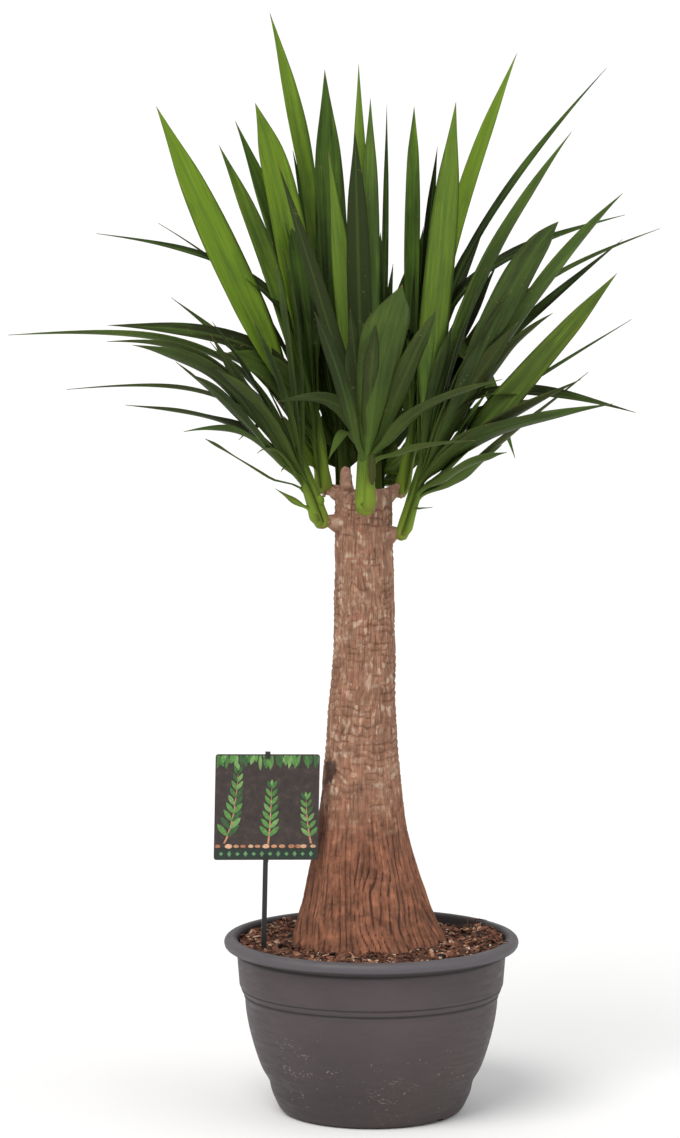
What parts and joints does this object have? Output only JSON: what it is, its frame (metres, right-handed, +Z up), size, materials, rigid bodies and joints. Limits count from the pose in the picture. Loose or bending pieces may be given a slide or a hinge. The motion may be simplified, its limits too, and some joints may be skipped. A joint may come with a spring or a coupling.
{
  "type": "potted spineless yucca",
  "caption": "Spineless yucca in a dark plastic bowl pot: thick cane with a flared foot, leafy shoots fanning out at its cut top, and a plant label on a stake",
  "frame": {"origin": "centre of the pot's underside, in the plane that the pot stands on", "axes": "+Z up along the plant, -Y towards the viewer of the picture, +X to the viewer's right"},
  "size_m": [0.679, 0.4812, 1.152],
  "materials": {
    "pot_plastic": "matt brownish grey, with faint scuffs",
    "potting_mix": "rough reddish-brown bark chips and fibre with pale grains",
    "bark": "rough, ringed and fissured, grey-brown to reddish",
    "leaf": "smooth with a satin wax sheen",
    "printed_card": "printed, satin",
    "black_plastic": "black, semi-gloss"
  },
  "bodies": {
    "root": {"pot": "pot_plastic", "soil": "potting_mix", "trunk": "bark", "shoot_front": "leaf", "shoot_left_low": "leaf", "shoot_left_high": "leaf", "shoot_back_left": "leaf", "shoot_back_right": "leaf", "shoot_right_high": "leaf", "shoot_right_low": "leaf", "label_card": "printed_card", "label_stake": "black_plastic"}
  },
  "joints": []
}
